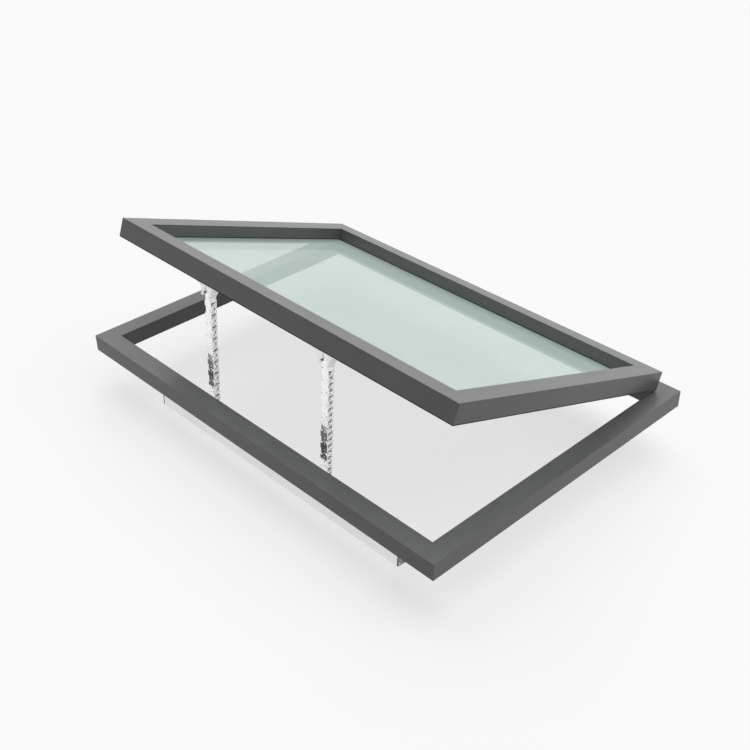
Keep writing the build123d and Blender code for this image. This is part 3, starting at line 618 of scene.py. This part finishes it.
@dataclass
class PushChain:
    """One push chain, link by link: plates with bevelled edges, rollers, and riveted pins.

    A link lies along x from pin to pin, its back at -y and its pins along z.
    """

    hand: Hand
    pitch: float = 15.875 * MM
    roller_radius: float = 5.08 * MM
    inner_width: float = 9.7 * MM
    plate_thickness: float = 2.2 * MM
    plate_end: float = 7.5 * MM
    back: float = 14.0 * MM
    shoulder: float = 5.0 * MM
    shoulder_gap: float = 0.15 * MM
    bevel: float = 0.28 * MM
    pin_radius: float = 2.5 * MM
    pin_dome: float = 0.35 * MM
    pin_end: float = 0.55
    end_points: int = 14
    end_least: float = 18.0 * MM
    head_links: int = 3
    teeth: int = 7
    keep: float = 0.18
    smooth: float = 25.0

    def __post_init__(self) -> None:
        """Reads the chain's line, lean and place from the frame."""
        name = self.hand.value
        swivel = joint("opener_swivel")["pos_m"]
        head = joint(f"chain_{name}_pivot")["pos_m"]
        self.swivel = np.array([0.0, swivel[1], swivel[2]])
        self.lean = math.atan2(head[1] - swivel[1], head[2] - swivel[2])
        self.up = np.array([0.0, math.sin(self.lean), math.cos(self.lean)])
        self.line = box(f"chain_{name}_run")[0, 0] + self.back
        self.length = math.hypot(head[1] - swivel[1], head[2] - swivel[2])

    def outline(self) -> np.ndarray:
        """Outline of a plate.

        Two half circles about the pins, joined by a straight edge in front, and behind by a square
        shoulder that stops just short of the neighbours' shoulders.
        """
        turn = np.linspace(-np.pi / 2, np.pi / 2, self.end_points)
        far = np.column_stack([self.pitch + self.plate_end * np.cos(turn), self.plate_end * np.sin(turn)])
        near = np.column_stack([-self.plate_end * np.cos(turn), -self.plate_end * np.sin(turn)])
        start, end = self.shoulder_gap, self.pitch - self.shoulder_gap
        back = np.array([
            [start, -self.plate_end],
            [start, -self.back],
            [end, -self.back],
            [end, -self.plate_end],
        ])
        return np.concatenate([near, back, far])

    def link(self, wide: bool) -> Surface:
        """Builds one link.

        Args:
            wide: Whether its plates lie outside its neighbours', with a shoulder across its back.

        Returns:
            The link, along x from a pin at the origin.
        """
        low = self.inner_width / 2 + (self.plate_thickness if wide else 0.0)
        high = low + self.plate_thickness
        parts = [plate(self.outline(), low, high, self.bevel), plate(self.outline(), -high, -low, self.bevel)]
        if wide:
            start, end = self.shoulder_gap, self.pitch - self.shoulder_gap
            across = np.array([
                [start, -self.back],
                [end, -self.back],
                [end, -self.back + self.shoulder],
                [start, -self.back + self.shoulder],
            ])
            parts.append(plate(across, -low, low, self.bevel))
            parts += [self.pin(high).placed(moved((x, 0.0, 0.0))) for x in (0.0, self.pitch)]
        else:
            parts += [self.roller(low).placed(moved((x, 0.0, 0.0))) for x in (0.0, self.pitch)]
        return Surface.joined(parts)

    def pin(self, reach: float) -> Surface:
        """Builds a pin with a low riveted dome at each end."""
        end_radius = self.pin_end * self.pin_radius
        return rod(self.pin_radius, reach + self.pin_dome, end_radius, self.pin_dome, 20)

    def roller(self, reach: float) -> Surface:
        """Builds the roller between the plates, with bevelled ends."""
        bevel = 2 * self.bevel
        return rod(self.roller_radius, reach, self.roller_radius - bevel, bevel, 24)

    def leaned(self, x: float, height: float) -> np.ndarray:
        """Returns the place of a point on the chain's own plane, which leans about the swivel."""
        return self.swivel + self.up * height + np.array([x, 0.0, 0.0])

    def links(self, pins: np.ndarray, first: int) -> Surface:
        """Builds the links along a run of pins.

        Args:
            pins: Points by 2, as x and height above the swivel.
            first: The number of the first link; odd links are wide.

        Returns:
            The links, in their places.
        """
        shapes = {wide: self.link(wide) for wide in (False, True)}
        across = np.cross(self.up, np.array([1.0, 0.0, 0.0]))
        placed = []
        for count, (start, end) in enumerate(zip(pins, pins[1:])):
            way = np.array([end[0] - start[0], 0.0, 0.0]) + self.up * (end[1] - start[1])
            way /= np.linalg.norm(way)
            matrix = frame_matrix(self.leaned(*start), way, np.cross(-across, way), -across)
            placed.append(shapes[(first + count) % 2 == 1].placed(matrix))
        return Surface.joined(placed)

    def rising_pins(self) -> np.ndarray:
        """Returns the pins of the straight chain, from its end fitting down to the sprocket."""
        count = int((self.length - self.end_least) // self.pitch)
        heights = (count - np.arange(count + 1)) * self.pitch
        return np.column_stack([np.full(count + 1, self.line), heights])

    def stored_pins(self) -> np.ndarray:
        """Returns the pins round the sprocket: one on the next seat, one on the casing's floor."""
        radius = self.pitch / 2 / math.sin(math.pi / self.teeth)
        turn = math.pi + 2 * math.pi / self.teeth
        seat = (self.line + radius * (1 + math.cos(turn)), radius * math.sin(turn))
        floor = seat[0] + math.sqrt(self.pitch**2 - (seat[1] + radius) ** 2)
        return np.array([(self.line, 0.0), seat, (floor, -radius)])

    def build(self, dresser: Dresser) -> None:
        """Builds and dresses the head, the run and the stored tail.

        The run is drawn at its length when open. As the sash shuts, its links go round the sprocket
        one by one, so it shortens towards the head and its foot stays inside the casing.
        """
        name = self.hand.value
        pins = self.rising_pins()
        head = pins[: self.head_links + 1]
        run = pins[self.head_links :]
        count = len(pins) - 1
        stretches = (
            (Stretch.HEAD, head, 1, f"chain_{name}"),
            (Stretch.RUN, run, self.head_links + 1, f"chain_{name}"),
            (Stretch.TAIL, self.stored_pins(), count + 1, "opener"),
        )
        for stretch, points, first, body in stretches:
            made = self.links(points, first).piece(f"chain_{name}_{stretch.value}_links", self.smooth)
            dresser.dress(made, "chain_steel", body, f"chain_{name}_{stretch.value}")
            if stretch is Stretch.RUN:
                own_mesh(made)


# Fasteners, and what shows on the opener's ends


@dataclass
class Screws:
    """Low round-headed screws with a hexagon socket, one for each screw of a node."""

    node: str
    body: str
    head_radius: float = 4.2 * MM
    head_height: float = 2.2 * MM
    shank_radius: float = 2.4 * MM
    shank: float = 10.0 * MM
    socket_radius: float = 1.45 * MM
    socket_depth: float = 1.4 * MM
    group_reach: float = 14.0 * MM

    def places(self) -> list[np.ndarray]:
        """Finds the screws in the frame's node.

        The points within a short reach of each other are one screw. Its axis is the way in which
        they spread most, and its head is at the end whose points stand furthest from that axis.

        Returns:
            A matrix for each screw, from its head's face, with z out of the head.
        """
        mesh = frame["nodes"][self.node].data
        points = np.zeros(len(mesh.vertices) * 3)
        mesh.vertices.foreach_get("co", points)
        left = np.unique(points.reshape(-1, 3).round(6), axis=0)
        found = []
        while len(left):
            near = np.linalg.norm(left - left[0], axis=1) < self.group_reach
            found.append(self.axis_of(left[near]))
            left = left[~near]
        return found

    def axis_of(self, points: np.ndarray) -> np.ndarray:
        """Returns the matrix of one screw, from its points."""
        centre = points.mean(axis=0)
        way = np.linalg.svd(points - centre)[2][0]
        along = (points - centre) @ way
        across = np.linalg.norm(points - centre - np.outer(along, way), axis=1)
        if along[across > across.mean()].mean() < 0:
            way, along = -way, -along
        face = centre + way * (along.max() - self.head_height)
        side = np.cross(way, np.eye(3)[np.argmin(np.abs(way))])
        side /= np.linalg.norm(side)
        return frame_matrix(face, side, np.cross(way, side), way)

    def screw(self) -> Surface:
        """Builds one screw, its head's face at the origin and its head along z."""
        head, top, socket = self.head_radius, self.head_height, self.socket_radius
        profile = np.array([
            (0.7 * self.shank_radius, -self.shank),
            (self.shank_radius, -0.9 * self.shank),
            (self.shank_radius, 0.0),
            (head, 0.0),
            (head, 0.35 * top),
            (0.93 * head, 0.7 * top),
            (0.8 * head, 0.93 * top),
            (0.66 * head, top),
            (socket, top),
            (socket, top - self.socket_depth),
        ])
        return turned(profile, 36, slice(-2, None))

    def build(self, dresser: Dresser) -> None:
        """Builds and dresses the screws."""
        one = self.screw()
        made = Surface.joined([one.placed(place) for place in self.places()]).piece(f"fine_{self.node}")
        dresser.dress(made, "bright_steel", self.body, self.node)


@dataclass
class OpenerEnd:
    """What is seen on one end of the opener: its bracket, swivel pin, cap screws and the lead's gland.

    Outlines are drawn about the swivel's axis: across is inwards, away from the front rail.
    """

    hand: Hand
    pin_radius: float = 4.0 * MM
    pin_bevel: float = 0.5 * MM
    head_radius: float = 7.0 * MM
    head: float = 3.0 * MM
    head_bevel: float = 1.2 * MM
    plate: float = 3.0 * MM
    flange_height: float = 30.0 * MM
    eye: float = 12.0 * MM
    eye_corner: float = 11.76 * MM
    arm_top: float = 9.0 * MM
    arm_foot_corner: float = 10.0 * MM
    arm_head_corner: float = 8.0 * MM
    corner: float = 3.0 * MM
    bevel: float = 0.4 * MM
    cap_screw: float = 2.6 * MM
    cap_socket: float = 1.2 * MM
    cap_stand: float = 0.25 * MM
    cap_screw_across: float = 18.0 * MM
    cap_screw_up: float = 31.0 * MM
    nut_radius: float = 8.0 * MM
    nut_bevel: float = 0.8 * MM
    dome_radius: float = 6.0 * MM
    bore: float = 3.2 * MM

    def __post_init__(self) -> None:
        """Reads the end's place, and its chains' lean, from the frame."""
        name = self.hand.value
        self.outwards = 1.0 if self.hand is Hand.RIGHT else -1.0
        self.swivel = np.array(joint("opener_swivel")["pos_m"])
        self.bracket_box = box(f"opener_bracket_{name}")
        self.pin_box = box(f"swivel_pin_{name}")
        self.cap_box = box(f"opener_end_cap_{name}")
        self.lean = PushChain(self.hand).lean

    def side_of(self, bounds: np.ndarray) -> float:
        """Returns the x of a box's outer face."""
        return bounds[1, 0] if self.outwards > 0 else bounds[0, 0]

    def pin(self) -> Surface:
        """Builds the swivel pin: a round shank under a six-sided head with a bevelled top."""
        length = self.pin_box[1, 0] - self.pin_box[0, 0] - self.head
        small, radius, head = self.pin_bevel, self.pin_radius, self.head_radius
        profile = np.array([
            (radius - small, -length),
            (radius, -length + small),
            (radius, 0.0),
            (head, 0.0),
            (head, self.head - small),
            (head - self.head_bevel, self.head),
        ])
        face = np.array([self.side_of(self.pin_box) - self.outwards * self.head, *self.swivel[1:]])
        return turned(profile, 48, slice(3, 5)).placed(facing(face, self.outwards))

    def bracket(self) -> Surface:
        """Builds the bracket: an arm with a round eye, and a flange on the rail's inner face."""
        low, high = self.bracket_box
        inner = low[0] if self.outwards > 0 else high[0]
        outer = inner + self.outwards * self.plate
        face, top = low[1] - self.swivel[1], high[2] - self.swivel[2]
        flange_foot = top - self.flange_height
        arm = rounded([
            (face, flange_foot, 0.0),
            (-self.eye, 0.0, self.arm_foot_corner),
            (-self.eye, -self.eye, self.eye_corner),
            (self.eye, -self.eye, self.eye_corner),
            (self.eye, self.eye, self.arm_head_corner),
            (face + self.arm_top, top, self.corner),
            (face, top, 0.0),
        ])
        arm_x = sorted((inner, outer))
        bent = [plate(arm, *arm_x, self.bevel).placed(facing(np.array([0.0, *self.swivel[1:]]), 1.0))]
        free = self.side_of(self.bracket_box)
        near, far = sorted((inner, free))
        radii = (self.corner, 0.0) if self.outwards < 0 else (0.0, self.corner)
        flange = rounded([
            (near, self.swivel[2] + flange_foot, radii[0]),
            (far, self.swivel[2] + flange_foot, radii[1]),
            (far, high[2], radii[1]),
            (near, high[2], radii[0]),
        ])
        bent.append(plate(flange, -self.plate, 0.0, self.bevel).placed(upright(np.array([0.0, low[1], 0.0]))))
        return Surface.joined(bent)

    def cap_screws(self) -> Surface:
        """Builds the four flush screws of the end cap, with hexagon sockets."""
        radius, socket = self.cap_screw, self.cap_socket
        profile = np.array([
            (0.45 * radius, -2.0 * MM),
            (radius, -0.1 * MM),
            (radius, 0.12 * MM),
            (0.93 * radius, self.cap_stand),
            (socket, self.cap_stand),
            (socket, -1.0 * MM),
        ])
        one = turned(profile, 24, slice(-2, None))
        across = np.array([0.0, math.cos(self.lean), -math.sin(self.lean)])
        up = np.array([0.0, math.sin(self.lean), math.cos(self.lean)])
        start = np.array([self.side_of(self.cap_box), *self.swivel[1:]])
        placed = []
        for aside in (-self.cap_screw_across, self.cap_screw_across):
            for rise in (-self.cap_screw_up, self.cap_screw_up):
                placed.append(one.placed(facing(start + across * aside + up * rise, self.outwards)))
        return Surface.joined(placed)

    def gland(self) -> Surface:
        """Builds the supply lead's gland: a six-sided nut and a round dome, about an open bore."""
        low, high = box("cable_gland")
        nut, dome, small, end = self.nut_radius, self.dome_radius, self.nut_bevel, high[0] - low[0]
        step = end / 2
        profile = np.array([
            (nut - small, 0.0),
            (nut, small),
            (nut, step - small),
            (nut - small, step),
            (dome, step),
            (dome, end - 2.2 * MM),
            (dome - 0.5 * MM, end - 0.9 * MM),
            (dome - 1.6 * MM, end),
            (self.bore, end),
            (self.bore, 0.0),
        ])
        centre = np.array([low[0], (low[1] + high[1]) / 2, (low[2] + high[2]) / 2])
        return turned_ring(profile, 48, slice(0, 4)).placed(facing(centre, 1.0))

    def build(self, dresser: Dresser) -> None:
        """Builds and dresses the end's pieces."""
        name = self.hand.value
        pin = self.pin().piece(f"swivel_bolt_{name}")
        dresser.dress(pin, "bright_steel", "base", f"swivel_pin_{name}")
        bracket = self.bracket().piece(f"bent_bracket_{name}")
        dresser.dress(bracket, "bracket_metal", "base", f"opener_bracket_{name}")
        dresser.dress(self.cap_screws().piece(f"cap_screws_{name}"), "bright_steel", "opener")
        if self.hand is Hand.RIGHT:
            dresser.dress(self.gland().piece("lead_gland"), "cap_plastic", "opener", "cable_gland")


# Butt hinges


@dataclass
class ButtHinge:
    """One butt hinge: two leaves whose rolled knuckles share a pin.

    It is drawn about its own axis: x along the pin, y outwards and z up.
    """

    hand: Hand
    half_length: float = 45.0 * MM
    half_centre: float = 15.0 * MM
    knuckle_gap: float = 0.5 * MM
    knuckle_radius: float = 5.5 * MM
    bore: float = 3.05 * MM
    leaf_near: float = 3.4 * MM
    leaf_far: float = 5.9 * MM
    leaf_reach: float = 30.0 * MM
    leaf_corner: float = 6.0 * MM
    notch: float = 6.5 * MM
    bevel: float = 0.35 * MM
    pin_radius: float = 3.0 * MM
    pin_bevel: float = 0.6 * MM
    pin_head_radius: float = 4.5 * MM
    pin_head: float = 2.0 * MM

    def __post_init__(self) -> None:
        """Reads the hinge's place from the frame."""
        middle = box(f"hinge_base_leaf_{self.hand.value}")[:, 0].mean()
        self.place = np.array([middle, *joint("sash_hinge")["pos_m"][1:]])

    def knuckle(self, low: float, high: float) -> Surface:
        """Builds a knuckle, from low to high along x."""
        return bushing(self.bore, self.knuckle_radius, low, high, self.bevel).placed(ALONG_X)

    def base_leaf(self) -> Surface:
        """Builds the leaf that lies on the base frame, with a knuckle at each end."""
        end, start = self.half_length, self.half_centre + self.knuckle_gap
        outline = rounded([
            (-end, 0.0, 0.0),
            (-start, 0.0, 0.0),
            (-start, self.notch, 0.0),
            (start, self.notch, 0.0),
            (start, 0.0, 0.0),
            (end, 0.0, 0.0),
            (end, self.leaf_reach, self.leaf_corner),
            (-end, self.leaf_reach, self.leaf_corner),
        ])
        leaf = plate(outline, -self.leaf_far, -self.leaf_near, self.bevel)
        return Surface.joined([leaf, self.knuckle(start, end), self.knuckle(-end, -start)])

    def sash_leaf(self) -> Surface:
        """Builds the leaf that stands against the sash, with the knuckle in the middle."""
        end, start = self.half_length, self.half_centre
        outline = rounded([
            (-start, 0.0, 0.0),
            (start, 0.0, 0.0),
            (start, self.notch, 0.0),
            (end, self.notch, 0.0),
            (end, self.leaf_reach, self.leaf_corner),
            (-end, self.leaf_reach, self.leaf_corner),
            (-end, self.notch, 0.0),
            (-start, self.notch, 0.0),
        ])
        leaf = plate(outline, self.leaf_near, self.leaf_far, self.bevel).placed(upright(NOWHERE))
        return Surface.joined([leaf, self.knuckle(-start, start)])

    def pin(self) -> Surface:
        """Builds the pin, with a low domed head at its right end."""
        end, radius, head, small = self.half_length, self.pin_radius, self.pin_head_radius, self.pin_bevel
        profile = np.array([
            (radius - small, -end),
            (radius, -end + small),
            (radius, end),
            (head, end),
            (head, end + 0.4 * self.pin_head),
            (0.87 * head, end + 0.8 * self.pin_head),
            (0.6 * head, end + self.pin_head),
        ])
        return turned(profile, 40).placed(ALONG_X)

    def build(self, dresser: Dresser) -> None:
        """Builds and dresses both leaves and the pin."""
        name = self.hand.value
        still = moved(self.place)
        leaf = self.base_leaf().placed(still).piece(f"rolled_base_leaf_{name}")
        dresser.dress(leaf, "hinge_paint", "base", f"hinge_base_leaf_{name}")
        leaf = self.sash_leaf().placed(on_open_sash(self.place)).piece(f"rolled_sash_leaf_{name}")
        dresser.dress(leaf, "hinge_paint", "sash", f"hinge_sash_leaf_{name}")
        pin = self.pin().placed(still).piece(f"domed_hinge_pin_{name}")
        dresser.dress(pin, "bright_steel", "base", f"hinge_pin_{name}")


# Chain brackets under the sash


@dataclass
class ChainBracket:
    """Cast bracket under the sash: a plate, and two flared lugs that hold the chain's head pin.

    It is drawn about the pin: x along the pin, y inwards and z up.
    """

    hand: Hand
    pin_drop: float = 14.0 * MM
    plate_half: float = 35.0 * MM
    plate_half_depth: float = 16.0 * MM
    plate_corner: float = 3.0 * MM
    plate_foot: float = 6.0 * MM
    lug_foot: float = -20.0 * MM
    foot_half: float = 15.5 * MM
    foot_half_depth: float = 10.0 * MM
    flare_half: float = 31.0 * MM
    flare_half_depth: float = 14.5 * MM
    fork: float = 6.2 * MM
    wide_fork: float = 12.2 * MM
    wide_fork_top: float = -10.0 * MM
    levels: int = 18
    bevel: float = 0.6 * MM
    pin_radius: float = 4.0 * MM
    pin_half: float = 21.6 * MM
    pin_rivet: float = 0.6 * MM
    pin_end: float = 0.6
    eye_radius: float = 8.0 * MM
    eye_half: float = 6.0 * MM
    eye_bevel: float = 0.5 * MM
    neck_drop: float = 4.0 * MM
    heel_corner: float = 0.5 * MM
    shoulder_corner: float = 2.5 * MM
    tongue_points: int = 24

    def __post_init__(self) -> None:
        """Reads the bracket's place from the frame."""
        name = self.hand.value
        middle = box(f"sash_bracket_{name}")[:, 0].mean()
        self.place = np.array([middle, *joint(f"chain_{name}_pivot")["pos_m"][1:]])
        self.chain = PushChain(self.hand)

    def lug(self) -> Surface:
        """Builds the right lug, as a stack of level rings.

        Over a quarter turn t the height rises with sin t from the foot into the plate, and the outer
        side and the depth grow with 1 - cos t. Low down the fork is wider, to clear the first link.
        """
        turn = np.linspace(0.0, np.pi / 2, self.levels)
        rise, grow = np.sin(turn), 1 - np.cos(turn)
        height = self.lug_foot + rise * (self.plate_foot + self.bevel - self.lug_foot)
        outer = self.foot_half + grow * (self.flare_half - self.foot_half)
        depth = self.foot_half_depth + grow * (self.flare_half_depth - self.foot_half_depth)
        inner = np.where(height < self.wide_fork_top, self.wide_fork, self.fork)
        sides = ((inner, -depth), (outer, -depth), (outer, depth), (inner, depth))
        return lofted(np.stack([np.column_stack([x, y, height]) for x, y in sides], axis=1))

    def fork_shape(self) -> Surface:
        """Builds the plate and the two flared lugs."""
        flat = rectangle(self.plate_half, self.plate_half_depth, self.plate_corner)
        lug = self.lug()
        other = lug.placed(frame_matrix(NOWHERE, *np.diag([-1.0, -1.0, 1.0])))
        return Surface.joined([plate(flat, self.plate_foot, self.pin_drop, self.bevel), lug, other])

    def pin(self) -> Surface:
        """Builds the head pin, its ends riveted over outside the lugs."""
        end_radius = self.pin_end * self.pin_radius
        return rod(self.pin_radius, self.pin_half, end_radius, self.pin_rivet, 32).placed(ALONG_X)

    def forged_end(self) -> Surface:
        """Builds the chain's end: an eye on the pin, a neck, and a tongue between the first plates.

        It is drawn along the chain, about the pin; the tongue ends in a half circle about the
        chain's first pin.
        """
        chain = self.chain
        line = chain.line - self.place[0]
        first = -(chain.length - (len(chain.rising_pins()) - 1) * chain.pitch)
        neck = -self.eye_radius - self.neck_drop
        shoulder = neck - self.neck_drop / 2
        half = self.eye_half
        turn = np.linspace(np.pi, 2 * np.pi, self.tongue_points)
        tongue = np.column_stack([
            line + chain.plate_end * np.cos(turn),
            first + chain.plate_end * np.sin(turn),
        ])
        body = rounded([
            (line - chain.back, first + chain.shoulder_gap, self.heel_corner),
            (line - chain.plate_end, first + chain.shoulder_gap, 0.0),
            *[(x, z, 0.0) for x, z in tongue[1:-1]],
            (line + chain.plate_end, first, 0.0),
            (line + chain.plate_end, shoulder, self.shoulder_corner),
            (half, neck, 0.0),
            (-half, neck, 0.0),
            (line - chain.back, shoulder, self.shoulder_corner),
        ])
        thick = chain.inner_width / 2 + chain.plate_thickness
        neck_face = rectangle(half, thick, self.bevel)
        shape = Surface.joined([
            plate(body, -thick, thick, self.bevel).placed(upright(NOWHERE)),
            plate(neck_face, neck - self.bevel, -self.pin_radius, self.bevel),
            bushing(self.pin_radius, self.eye_radius, -half, half, self.eye_bevel).placed(ALONG_X),
        ])
        across = np.cross(chain.up, np.array([1.0, 0.0, 0.0]))
        return shape.placed(frame_matrix(self.place, (1, 0, 0), across, chain.up))

    def build(self, dresser: Dresser) -> None:
        """Builds and dresses the bracket, its pin and the chain's forged end."""
        name = self.hand.value
        stand = on_open_sash(self.place)
        fork = self.fork_shape().placed(stand).piece(f"flared_bracket_{name}")
        dresser.dress(fork, "bracket_metal", "sash", f"sash_bracket_{name}")
        pin = self.pin().placed(stand).piece(f"riveted_pin_{name}")
        dresser.dress(pin, "bright_steel", "sash", f"bracket_pin_{name}")
        forged = self.forged_end().piece(f"forged_end_{name}")
        dresser.dress(forged, "chain_steel", f"chain_{name}", f"chain_{name}_end")


# Studio


@dataclass(frozen=True)
class Lamp:
    """A broad lamp, far away."""

    name: str
    way: tuple[float, float, float]
    strength: float
    width_degrees: float

    def build(self) -> None:
        """Makes the lamp, which shines from the way that is given."""
        data = bpy.data.lights.new(self.name, "SUN")
        data.energy = self.strength
        data.angle = math.radians(self.width_degrees)
        lamp = bpy.data.objects.new(self.name, data)
        lamp.rotation_mode = "QUATERNION"
        lamp.rotation_quaternion = Vector(self.way).to_track_quat("Z", "Y")
        bpy.context.scene.collection.objects.link(lamp)


@dataclass
class Viewpoint:
    """Where the picture is taken from, in degrees and metres, looking near the frame's origin."""

    azimuth: float = 46.0611
    elevation: float = 33.5630
    roll: float = -0.3419
    distance: float = 2.8567
    aside: float = -0.0039
    above: float = 0.0041
    focal_pixels: float = 1141.34
    image_pixels: float = 750.0
    sensor: float = 36.0

    def build(self) -> None:
        """Makes the camera.

        Its backward axis is (sin a cos e, -cos a cos e, sin e) for azimuth a and elevation e.
        """
        turn, rise, roll = (math.radians(one) for one in (self.azimuth, self.elevation, self.roll))
        back = Vector((
            math.sin(turn) * math.cos(rise),
            -math.cos(turn) * math.cos(rise),
            math.sin(rise),
        ))
        level = (-back).cross(Vector((0, 0, 1))).normalized()
        above = level.cross(-back)
        right = level * math.cos(roll) + above * math.sin(roll)
        up = above * math.cos(roll) - level * math.sin(roll)
        data = bpy.data.cameras.new("camera")
        data.sensor_width = self.sensor
        data.lens = self.focal_pixels * self.sensor / self.image_pixels
        camera = bpy.data.objects.new("camera", data)
        place = back * self.distance + right * self.aside + up * self.above
        camera.matrix_world = Matrix((
            (right.x, up.x, back.x, place.x),
            (right.y, up.y, back.y, place.y),
            (right.z, up.z, back.z, place.z),
            (0, 0, 0, 1),
        ))
        bpy.context.scene.collection.objects.link(camera)
        bpy.context.scene.camera = camera


@dataclass
class Studio:
    """Pale floor under two broad lamps, in a room of even light."""

    pale: float = 0.95
    shadow_share: float = 0.30
    floor_bounce: float = 0.16
    room_light: float = 0.15
    lamps: tuple[Lamp, ...] = (
        Lamp("left lamp", (-0.36, 0.28, 0.89), 1.6, 55.0),
        Lamp("right lamp", (0.36, 0.20, 0.91), 1.45, 55.0),
    )
    floor_level: float = -0.118
    floor_half: float = 20.0

    def seen(self, nodes: bpy.types.Nodes, links: bpy.types.NodeLinks) -> Socket:
        """Returns 1 for what the camera sees, straight, in a reflection or through glass."""
        path = nodes.new("ShaderNodeLightPath")
        last = path.outputs["Is Camera Ray"]
        for name in ("Is Glossy Ray", "Is Transmission Ray"):
            larger = nodes.new("ShaderNodeMath")
            larger.operation = "MAXIMUM"
            links.new(last, larger.inputs[0])
            links.new(path.outputs[name], larger.inputs[1])
            last = larger.outputs[0]
        return last

    def floor(self) -> None:
        """Makes the floor, which looks pale, keeps a soft shadow and throws little light back up."""
        half = self.floor_half
        square = [(-half, -half), (half, -half), (half, half), (-half, half)]
        mesh = bpy.data.meshes.new("floor")
        mesh.from_pydata([(x, y, self.floor_level) for x, y in square], [], [(0, 1, 2, 3)])
        floor = bpy.data.objects.new("floor", mesh)
        bpy.context.scene.collection.objects.link(floor)
        tree = Tree("pale floor")
        seen = self.seen(tree.nodes, tree.links)
        shaded = self.pale * self.shadow_share
        glow = tree.spread(seen, 0.0, 1.0, 0.0, self.pale - shaded)
        tree.set(Base_Color=tree.mixed(seen, (self.floor_bounce,) * 3, (shaded,) * 3))
        tree.set(Roughness=1.0, Specular_IOR_Level=0.0)
        tree.set(Emission_Color=(1.0, 1.0, 1.0, 1.0), Emission_Strength=glow)
        tree.material.cycles.emission_sampling = "NONE"
        mesh.materials.append(tree.material)

    def room(self) -> None:
        """Makes the even light of the room, and the pale background."""
        world = bpy.data.worlds.new("room")
        world.use_nodes = True
        nodes, links = world.node_tree.nodes, world.node_tree.links
        light = nodes["Background"]
        light.inputs["Color"].default_value = (1.0, 1.0, 1.0, 1.0)
        light.inputs["Strength"].default_value = self.room_light
        backdrop = nodes.new("ShaderNodeBackground")
        backdrop.inputs["Color"].default_value = (self.pale, self.pale, self.pale, 1.0)
        chosen = nodes.new("ShaderNodeMixShader")
        links.new(self.seen(nodes, links), chosen.inputs[0])
        links.new(light.outputs[0], chosen.inputs[1])
        links.new(backdrop.outputs[0], chosen.inputs[2])
        links.new(chosen.outputs[0], nodes["World Output"].inputs["Surface"])
        world.cycles.sampling_method = "NONE"
        bpy.context.scene.world = world

    def build(self) -> None:
        """Sets up the floor, the room and the lamps."""
        self.floor()
        self.room()
        for lamp in self.lamps:
            lamp.build()
        bpy.context.scene.view_settings.view_transform = "Standard"


def corners(bounds: tuple[Vector, Vector]) -> list[list[float]]:
    """Returns a box's two corners as plain lists."""
    return [[float(number) for number in corner] for corner in bounds]


def main() -> None:
    """Builds the skylight's looks around its frame."""
    logging.basicConfig(level=logging.INFO, format="%(message)s")
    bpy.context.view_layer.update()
    dresser = Dresser()
    for hand in Hand:
        PushChain(hand).build(dresser)
        ChainBracket(hand).build(dresser)
        ButtHinge(hand).build(dresser)
        OpenerEnd(hand).build(dresser)
    Screws("base_screws", "base").build(dresser)
    Screws("sash_screws", "sash").build(dresser)
    Viewpoint().build()
    Studio().build()


if __name__ == "__main__":
    main()
